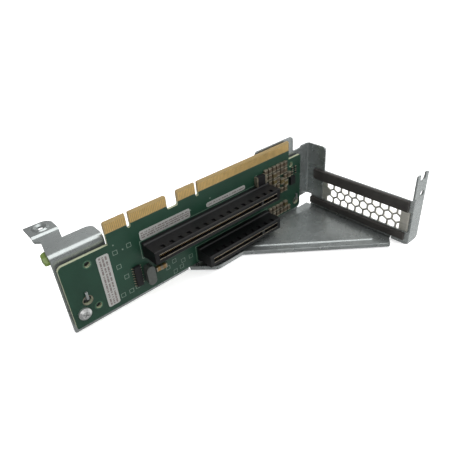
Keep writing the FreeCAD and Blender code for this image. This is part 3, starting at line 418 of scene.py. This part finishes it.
class RiserMetalSettings(bpy.types.PropertyGroup):
    steel_colour: colour_setting("Galvanised steel", "Colour of the bent cage", (0.365, 0.392, 0.388))
    steel_metallic: share_setting("Metal share", "How metallic the zinc coating looks", 0.7)
    steel_roughness: share_setting("Steel roughness", "Roughness of the zinc coating", 0.26)
    edge_radius: length_setting("Sheet edge", "Rounding that the sheet's edges seem to have", 0.35)
    filler_colour: colour_setting("Nickel", "Colour of the perforated slot filler", (0.73, 0.71, 0.64))
    filler_roughness: share_setting("Filler roughness", "Roughness of the slot filler", 0.38)
    gold_colour: colour_setting("Gold", "Plating of the edge tongues' pads", (0.60, 0.41, 0.155))
    tin_colour: colour_setting("Tin", "Tinned leads, ends and rings", (0.25, 0.225, 0.17))
    can_colour: colour_setting("Crystal can", "Drawn metal of the crystal's can", (0.13, 0.14, 0.13))
    screw_colour: colour_setting("Screw", "Bright zinc of the board screw", (0.68, 0.69, 0.68))


class RiserPlasticSettings(bpy.types.PropertyGroup):
    housing_colour: colour_setting("Slot housing", "Plastic of the card slots", (0.0045, 0.0045, 0.005))
    housing_roughness: share_setting("Housing roughness", "Roughness of the slot housings", 0.45)
    # Pale colour of the strips along the slots' mouths: a painted highlight on the mouths' edges.
    mouth_highlight_colour: colour_setting("Mouth ribs", "Worn ribs along the slots' mouths", (0.30, 0.27, 0.21))
    chip_colour: colour_setting("Chips", "Bodies of the chips and the inductor", (0.007, 0.007, 0.008))
    gasket_colour: colour_setting("Gasket cloth", "Conductive cloth of the gaskets", (0.055, 0.051, 0.047))
    guide_colour: colour_setting("Guide", "Olive plastic guide behind the flange", (0.13, 0.19, 0.035))
    paper_colour: colour_setting("Sticker", "Paper of the three stickers", (0.32, 0.325, 0.31))
    ink_colour: colour_setting("Ink", "Faded print on the stickers", (0.15, 0.125, 0.12))
    ceramic_colour: colour_setting("Ceramic", "Bodies of the ceramic capacitors", (0.07, 0.05, 0.028))
    tantalum_colour: colour_setting("Tantalum", "Bodies of the tantalum capacitors", (0.085, 0.062, 0.015))
    amber_colour: colour_setting("Bulk capacitor", "Bodies of the two amber capacitors", (0.20, 0.12, 0.035))


class RiserStageSettings(bpy.types.PropertyGroup):
    floor_colour: colour_setting("Floor", "Pale floor under the card", (0.9, 0.9, 0.9))
    surround: strength_setting("Room", "Strength of the dim room's own light", 0.22)
    side_glow: strength_setting("Pale side", "Strength of the room's paler side", 0.8)
    floor_glow: strength_setting("Floor glow", "Strength of the floor's even light", 0.55)
    key_strength: strength_setting("Overhead light", "Strength of the overhead light", 2.7)
    key_spread: angle_setting("Overhead spread", "Width of the overhead light", 70.0)
    back_strength: strength_setting("Back light", "Strength of the light from behind", 0.36)
    back_spread: angle_setting("Back spread", "Width of the light from behind", 58.0)
    fill_strength: strength_setting("Front light", "Strength of the front light", 0.35)
    fill_spread: angle_setting("Front spread", "Width of the front light", 40.0)
    view_turn: angle_setting("View turn", "Camera heading, from +Y towards +X", 38.28)
    view_drop: angle_setting("View drop", "How far the camera looks down", 32.40)
    view_roll: angle_setting("View roll", "Camera roll about its view line", -5.02)
    view_distance: length_setting("View distance", "Camera to the board's front", 256.19)
    view_lens: bpy.props.FloatProperty(name="Lens", description="Focal length", subtype="DISTANCE_CAMERA",
                                       default=34.756)


# ---------------------------------------------------------------- operators
class RiserOperator:
    """What the finishing operators share: undo, and the card's settings."""
    bl_options = {"REGISTER", "UNDO"}

    @property
    def board(self):
        return bpy.context.scene.riser_board

    @property
    def metal(self):
        return bpy.context.scene.riser_metal

    @property
    def plastic(self):
        return bpy.context.scene.riser_plastic


PROUD = 0.04                   # millimetres that printed and plated details stand proud


class RISER_OT_board(RiserOperator, bpy.types.Operator):
    """Finishes the board and adds its legend, test pads and the rings round its holes"""
    bl_idname = "riser.board"
    bl_label = "Board"

    # places are in X and Z from the board's lower left corner, and all sizes are in millimetres
    PILOT_PLACES = ((13.5, 32.9), (13.3, 7.6), (154.6, 33.6))
    PILOT_R = 1.6
    BARE_WIDTH = 0.6
    HOOK_PLACES = ((8.9, 13.7), (159.8, 5.5))
    HOOK_HOLE_R = 2.3
    PLATED_WIDTH = 0.45
    SLOT_MARGIN_X = 1.0
    SLOT_MARGIN_Z = 0.9
    FOOTPRINTS = ((28.0, 32.0), (28.2, 23.2), (30.9, 15.4), (26.8, 5.5), (31.7, 5.5), (35.8, 32.5),
                  (35.6, 6.2), (55.2, 7.3), (59.6, 9.5), (65.4, 6.8), (70.7, 6.9), (59.5, 2.5), (63.9, 3.4))
    FOOTPRINT_SIZE = 2.6
    TEST_PADS = ((32.2, 31.8), (27.9, 36.4), (72.0, 34.8), (74.6, 35.3), (88.4, 37.0), (124.0, 37.2))
    TEST_PAD_R = 0.45

    def places(self, offsets):
        """X and Z of places given from the board's lower left corner."""
        return [(BOARD_LOW.x + x, BOARD_LOW.z + z) for x, z in offsets]

    def legend(self, material):
        """Outlines of the two slots and of the empty footprints."""
        lines = Solids()
        width = self.board.silk_width / MM
        for node in ("slot_x16_housing", "slot_x8_housing"):
            low, high = span(node)
            lines.frame_line(low.x - self.SLOT_MARGIN_X, high.x + self.SLOT_MARGIN_X,
                             low.z - self.SLOT_MARGIN_Z, high.z + self.SLOT_MARGIN_Z, width, -PROUD, 0.0)
        reach = self.FOOTPRINT_SIZE / 2
        for x, z in self.places(self.FOOTPRINTS):
            lines.frame_line(x - reach, x + reach, z - reach, z + reach, width, -PROUD, 0.0)
        lines.piece("silkscreen_legend", material)

    def dots(self, material):
        """Round printed marks where the test pads lie."""
        pads = Solids()
        for place in self.places(self.TEST_PADS):
            pads.disc(place, self.TEST_PAD_R, -PROUD, 0.0)
        pads.piece("test_pads", material)

    def rings(self, name, offsets, radius, width, material, slot):
        """A flat ring on the board's front, round each of a set of holes."""
        rings = Solids()
        for place in self.places(offsets):
            rings.ring(place, radius, radius + width, -PROUD, 0.0)
        rings.piece(name, material)

    def execute(self, context):
        dress("riser_board", solder_mask(self.board))
        silk = plain("silkscreen", self.board.silk_colour, 0.0, 0.55).material
        tin = plain("tinned_pad", self.metal.tin_colour, 0.7, 0.35).material
        bare = plain("bare_ring", self.board.ring_colour, 0.0, 0.5).material
        self.legend(silk)
        self.dots(silk)
        self.rings("pilot_hole_rings", self.PILOT_PLACES, self.PILOT_R, self.BARE_WIDTH, bare, "board_green")
        self.rings("hook_hole_rings", self.HOOK_PLACES, self.HOOK_HOLE_R, self.PLATED_WIDTH, tin, "lead_tin")
        return {"FINISHED"}


class RISER_OT_cage(RiserOperator, bpy.types.Operator):
    """Finishes the bent cage and its slot filler"""
    bl_idname = "riser.cage"
    bl_label = "Cage"

    def execute(self, context):
        dress("main_bracket", galvanised_sheet(self.metal))
        dress("slot_filler", nickel_sheet(self.metal))
        return {"FINISHED"}


class RISER_OT_contacts(RiserOperator, bpy.types.Operator):
    """Plates the edge tongues' pads and the slots' spring contacts"""
    bl_idname = "riser.contacts"
    bl_label = "Contacts"

    def execute(self, context):
        gold = gold_plate("gold_pads", self.metal.gold_colour)
        for tongue in ("x4", "x16"):
            for side in ("front", "back"):
                dress(f"fingers_{tongue}_{side}", gold)
        spring = gold_plate("spring_plate", self.metal.gold_colour, 0.3)
        dress("slot_x16_contacts", spring)
        dress("slot_x8_contacts", spring)
        return {"FINISHED"}


class RISER_OT_slots(RiserOperator, bpy.types.Operator):
    """Finishes the card slots' housings and adds pale strips along their mouths, a painted highlight on the
    mouths' edges
    """
    bl_idname = "riser.slots"
    bl_label = "Card slots"

    HIGHLIGHT_WIDTH = 0.2
    HIGHLIGHT_OVERHANG = 0.3             # past the first and last contact
    LOWER_HIGHLIGHT = 0.3                # from the contacts' lowest point down to the lower painted highlight's foot
    UPPER_HIGHLIGHT = 0.1                # from the contacts' highest point up to the upper painted highlight's foot
    HIGHLIGHT_FACE = -0.02               # the painted highlight's front, just proud of the housing's face
    HIGHLIGHT_ROOT = 0.05                # and its back, sunk in the plastic

    def execute(self, context):
        black = moulded_black(self.plastic)
        for node in ("slot_x16_housing", "slot_x8_housing"):
            dress(node, black)
        # Pale strips just proud of each mouth, below and above its contacts: a painted highlight on the
        # mouth's edges.
        highlight_paint = plain("painted_mouth_highlight", self.plastic.mouth_highlight_colour, 0.0, 0.4).material
        for name in ("x16", "x8"):
            low = span(f"slot_{name}_housing")[0]
            contact_low, contact_high = span(f"slot_{name}_contacts")
            painted_highlights = Solids()
            for z in (contact_low.z - self.LOWER_HIGHLIGHT, contact_high.z + self.UPPER_HIGHLIGHT):
                painted_highlights.box((contact_low.x - self.HIGHLIGHT_OVERHANG, low.y + self.HIGHLIGHT_FACE, z),
                         (contact_high.x + self.HIGHLIGHT_OVERHANG, low.y + self.HIGHLIGHT_ROOT, z + self.HIGHLIGHT_WIDTH))
            painted_highlights.piece(f"slot_{name}_painted_mouth_highlights", highlight_paint)
        return {"FINISHED"}


class RISER_OT_gaskets(RiserOperator, bpy.types.Operator):
    """Covers the foam gaskets in conductive cloth"""
    bl_idname = "riser.gaskets"
    bl_label = "Gaskets"

    def execute(self, context):
        cloth = gasket_cloth(self.plastic)
        dress("gasket_upper", cloth)
        dress("gasket_lower", cloth)
        return {"FINISHED"}


class RISER_OT_labels(RiserOperator, bpy.types.Operator):
    """Prints rows of plain blocks on the stickers"""
    bl_idname = "riser.labels"
    bl_label = "Stickers"

    SEED = 7
    MARGIN = 0.8
    ROW_FOOT = 0.2                 # shares of the pitch between rows
    ROW_HEIGHT = 0.55
    BLOCKS = (0.6, 0.9, 1.4, 2.2)
    GAPS = (0.35, 0.35, 0.9)

    def rows(self, ink, low, high, along, count):
        """Rows of blocks that run along X or Z."""
        across = 2 - along
        first = low[along] + self.MARGIN
        last = high[along] - self.MARGIN
        pitch = (high[across] - low[across] - 2 * self.MARGIN) / count
        for row in range(count):
            start = first
            base = low[across] + self.MARGIN + row * pitch + pitch * self.ROW_FOOT
            while start < last:
                length = random.choice(self.BLOCKS)
                end = min(start + length, last)
                corner_a = [0.0, low.y - PROUD, 0.0]
                corner_b = [0.0, low.y, 0.0]
                corner_a[along], corner_b[along] = start, end
                corner_a[across], corner_b[across] = base, base + pitch * self.ROW_HEIGHT
                ink.box(corner_a, corner_b)
                start = end + random.choice(self.GAPS)

    def execute(self, context):
        random.seed(self.SEED)
        paper = plain("sticker_paper", self.plastic.paper_colour, 0.0, 0.6, mottle=0.05, scale=300.0).material
        print_ink = plain("faded_ink", self.plastic.ink_colour, 0.0, 0.7, mottle=0.3).material
        for node, along, count in (("label_tall", 2, 3), ("label_wide", 0, 3), ("label_narrow", 0, 1)):
            dress(node, paper)
            low, high = span(node)
            ink = Solids()
            self.rows(ink, low, high, along, count)
            ink.piece(f"{node}_print", print_ink)
        return {"FINISHED"}


class RISER_OT_components(RiserOperator, bpy.types.Operator):
    """Finishes the chips, capacitors and resistors and adds their tinned ends"""
    bl_idname = "riser.components"
    bl_label = "Board components"

    END_SHARE = 0.2                # of a part's length, for each tinned end
    TERMINAL_SHARE = 0.1           # the same for the inductor's terminals
    WRAP = 0.05                    # millimetres of tin round a part

    def tinned_ends(self, node, tin, share=END_SHARE):
        """A cap over both ends of each solid, along its longer side."""
        ends = Solids()
        for low, high in solids_of(node):
            along = 0 if high.x - low.x > high.z - low.z else 2
            reach = (high[along] - low[along]) * share
            for start, stop in ((low[along] - self.WRAP, low[along] + reach),
                                (high[along] - reach, high[along] + self.WRAP)):
                corner_a = Vector((low.x - self.WRAP, low.y - self.WRAP, low.z - self.WRAP))
                corner_b = Vector((high.x + self.WRAP, 0.0, high.z + self.WRAP))
                corner_a[along] = start
                corner_b[along] = stop
                ends.box(corner_a, corner_b)
        ends.piece(f"{node}_ends", tin)

    def execute(self, context):
        plastic = self.plastic
        tin = plain("tinned_end", self.metal.tin_colour, 0.55, 0.4, mottle=0.5, scale=380.0).material
        package = plain("chip_body", plastic.chip_colour, 0.0, 0.45)
        package.shader.inputs["Specular IOR Level"].default_value = 0.3
        chip = package.material
        for node in ("clock_chip", "power_inductor", "regulator_chip", "chip_resistors"):
            dress(node, chip)
        dress("clock_chip_leads", tin)
        dress("crystal_can", plain("can_metal", self.metal.can_colour, 0.75, 0.35).material)
        bodies = (("ceramic_capacitors", plastic.ceramic_colour),
                  ("tantalum_capacitors", plastic.tantalum_colour),
                  ("bulk_capacitors", plastic.amber_colour))
        for node, colour in bodies:
            dress(node, plain(f"{node}_body", colour, 0.0, 0.45, mottle=0.35, scale=380.0).material)
            self.tinned_ends(node, tin)
        self.tinned_ends("chip_resistors", tin)
        self.tinned_ends("power_inductor", tin, self.TERMINAL_SHARE)
        return {"FINISHED"}


class RISER_OT_fasteners(RiserOperator, bpy.types.Operator):
    """Finishes the board screw and the plastic guide"""
    bl_idname = "riser.fasteners"
    bl_label = "Screw and guide"

    def execute(self, context):
        dress("board_screw", plain("bright_zinc", self.metal.screw_colour, 0.85, 0.28).material)
        dress("plastic_guide", plain("olive_plastic", self.plastic.guide_colour, 0.0, 0.4).material)
        return {"FINISHED"}


class RISER_OT_stage(bpy.types.Operator):
    """Sets the pale floor, the soft lights and the camera"""
    bl_idname = "riser.stage"
    bl_label = "Stage"

    VIEW_POINT = (-0.0197, 0.0191)           # the view line meets the board's front here, in X and Z
    ROOM_REACH = 6.0
    FLOOR_GAP = 0.0002
    NEAREST = 0.005
    PALE_SIDE = (0.83, -0.36, -0.43)
    OVERHEAD = (0.25, -0.25, 0.93)
    BEHIND = (0.62, 0.58, 0.53)
    IN_FRONT = (-0.5, -0.9, 0.55)

    def surface(self, name, mesh, colour, glow):
        """Floor or backdrop; the card's gloss shows the dim room in its place."""
        data = bpy.data.meshes.new(name)
        mesh.to_mesh(data)
        mesh.free()
        paint = Finish(f"pale_{name}", colour, 0.0, 1.0)
        paint.shader.inputs["Emission Color"].default_value = (1.0, 1.0, 1.0, 1.0)
        paint.shader.inputs["Emission Strength"].default_value = glow
        data.materials.append(paint.material)
        made = bpy.data.objects.new(name, data)
        made.visible_glossy = False
        bpy.context.scene.collection.objects.link(made)
        return made

    def room(self, stage):
        """Dim room with one paler side, low on the right."""
        world = bpy.data.worlds.new("dim_room")
        world.use_nodes = True
        nodes = world.node_tree.nodes
        links = world.node_tree.links
        pale_side = nodes.new("ShaderNodeVectorMath")
        pale_side.operation = "DOT_PRODUCT"
        pale_side.inputs[1].default_value = Vector(self.PALE_SIDE).normalized()
        links.new(nodes.new("ShaderNodeTexCoord").outputs["Generated"], pale_side.inputs[0])
        glow = nodes.new("ShaderNodeMapRange")
        glow.interpolation_type = "SMOOTHSTEP"
        for name, number in (("From Min", 0.6), ("From Max", 0.95),
                             ("To Min", stage.surround), ("To Max", stage.side_glow)):
            glow.inputs[name].default_value = number
        links.new(pale_side.outputs["Value"], glow.inputs["Value"])
        links.new(glow.outputs["Result"], nodes["Background"].inputs["Strength"])
        nodes["Background"].inputs["Color"].default_value = (1.0, 1.0, 1.0, 1.0)
        bpy.context.scene.world = world

    def light(self, name, towards, spread, strength):
        """A broad soft light from far off, in the direction given."""
        data = bpy.data.lights.new(name, "SUN")
        data.angle = spread
        data.energy = strength
        lamp = bpy.data.objects.new(name, data)
        lamp.rotation_euler = Vector(towards).to_track_quat("Z", "Y").to_euler()
        bpy.context.scene.collection.objects.link(lamp)

    def floor_and_backdrop(self, stage):
        """Pale floor under the card, in a glowing dome that lights nothing and casts no shadow."""
        sheet = bmesh.new()
        bmesh.ops.create_grid(sheet, x_segments=1, y_segments=1, size=self.ROOM_REACH)
        floor = self.surface("floor", sheet, stage.floor_colour, stage.floor_glow)
        floor.location = (0.0, 0.0, CAD_BOUNDS[0].z - self.FLOOR_GAP)
        dome = bmesh.new()
        bmesh.ops.create_icosphere(dome, subdivisions=4, radius=self.ROOM_REACH)
        backdrop = self.surface("backdrop", dome, (0.0, 0.0, 0.0), 1.0)
        backdrop.visible_diffuse = False
        backdrop.visible_shadow = False

    def camera(self, stage):
        """Looks down at the board's front from its left."""
        aim = Vector((self.VIEW_POINT[0], 0.0, self.VIEW_POINT[1]))
        forward = Vector((math.sin(stage.view_turn) * math.cos(stage.view_drop),
                          math.cos(stage.view_turn) * math.cos(stage.view_drop),
                          -math.sin(stage.view_drop)))
        level = forward.to_track_quat("-Z", "Y").to_matrix().to_4x4()
        data = bpy.data.cameras.new("camera")
        data.lens = stage.view_lens
        data.clip_start = self.NEAREST
        camera = bpy.data.objects.new("camera", data)
        camera.matrix_world = (Matrix.Translation(aim - forward * stage.view_distance) @ level
                               @ Matrix.Rotation(stage.view_roll, 4, "Z"))
        bpy.context.scene.collection.objects.link(camera)
        bpy.context.scene.camera = camera

    def execute(self, context):
        stage = context.scene.riser_stage
        self.floor_and_backdrop(stage)
        self.room(stage)
        self.light("overhead_light", self.OVERHEAD, stage.key_spread, stage.key_strength)
        self.light("back_light", self.BEHIND, stage.back_spread, stage.back_strength)
        self.light("front_light", self.IN_FRONT, stage.fill_spread, stage.fill_strength)
        self.camera(stage)
        context.scene.view_settings.view_transform = "Standard"
        return {"FINISHED"}


class RISER_PT_sidebar(bpy.types.Panel):
    """Lists the card's finishing steps and their settings"""
    bl_idname = "RISER_PT_sidebar"
    bl_label = "Riser card"
    bl_space_type = "VIEW_3D"
    bl_region_type = "UI"
    bl_category = "Riser"

    def draw(self, context):
        layout = self.layout
        for operator in OPERATORS:
            layout.operator(operator.bl_idname)
        for name in SETTINGS:
            group = getattr(context.scene, name)
            section = layout.box()
            for key in group.bl_rna.properties.keys():
                if key not in ("name", "rna_type"):
                    section.prop(group, key)


SETTINGS = {
    "riser_board": RiserBoardSettings,
    "riser_metal": RiserMetalSettings,
    "riser_plastic": RiserPlasticSettings,
    "riser_stage": RiserStageSettings,
}
OPERATORS = (RISER_OT_board, RISER_OT_cage, RISER_OT_contacts, RISER_OT_slots, RISER_OT_gaskets,
             RISER_OT_labels, RISER_OT_components, RISER_OT_fasteners, RISER_OT_stage)


def register():
    for name, group in SETTINGS.items():
        bpy.utils.register_class(group)
        setattr(bpy.types.Scene, name, bpy.props.PointerProperty(type=group))
    for operator in OPERATORS:
        bpy.utils.register_class(operator)
    bpy.utils.register_class(RISER_PT_sidebar)


def unregister():
    bpy.utils.unregister_class(RISER_PT_sidebar)
    for operator in reversed(OPERATORS):
        bpy.utils.unregister_class(operator)
    for name, group in SETTINGS.items():
        delattr(bpy.types.Scene, name)
        bpy.utils.unregister_class(group)


def main():
    """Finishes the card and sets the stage."""
    register()
    for operator in OPERATORS:
        group, name = operator.bl_idname.split(".")
        getattr(getattr(bpy.ops, group), name)()
    bpy.context.view_layer.update()


if __name__ == "__main__":
    main()
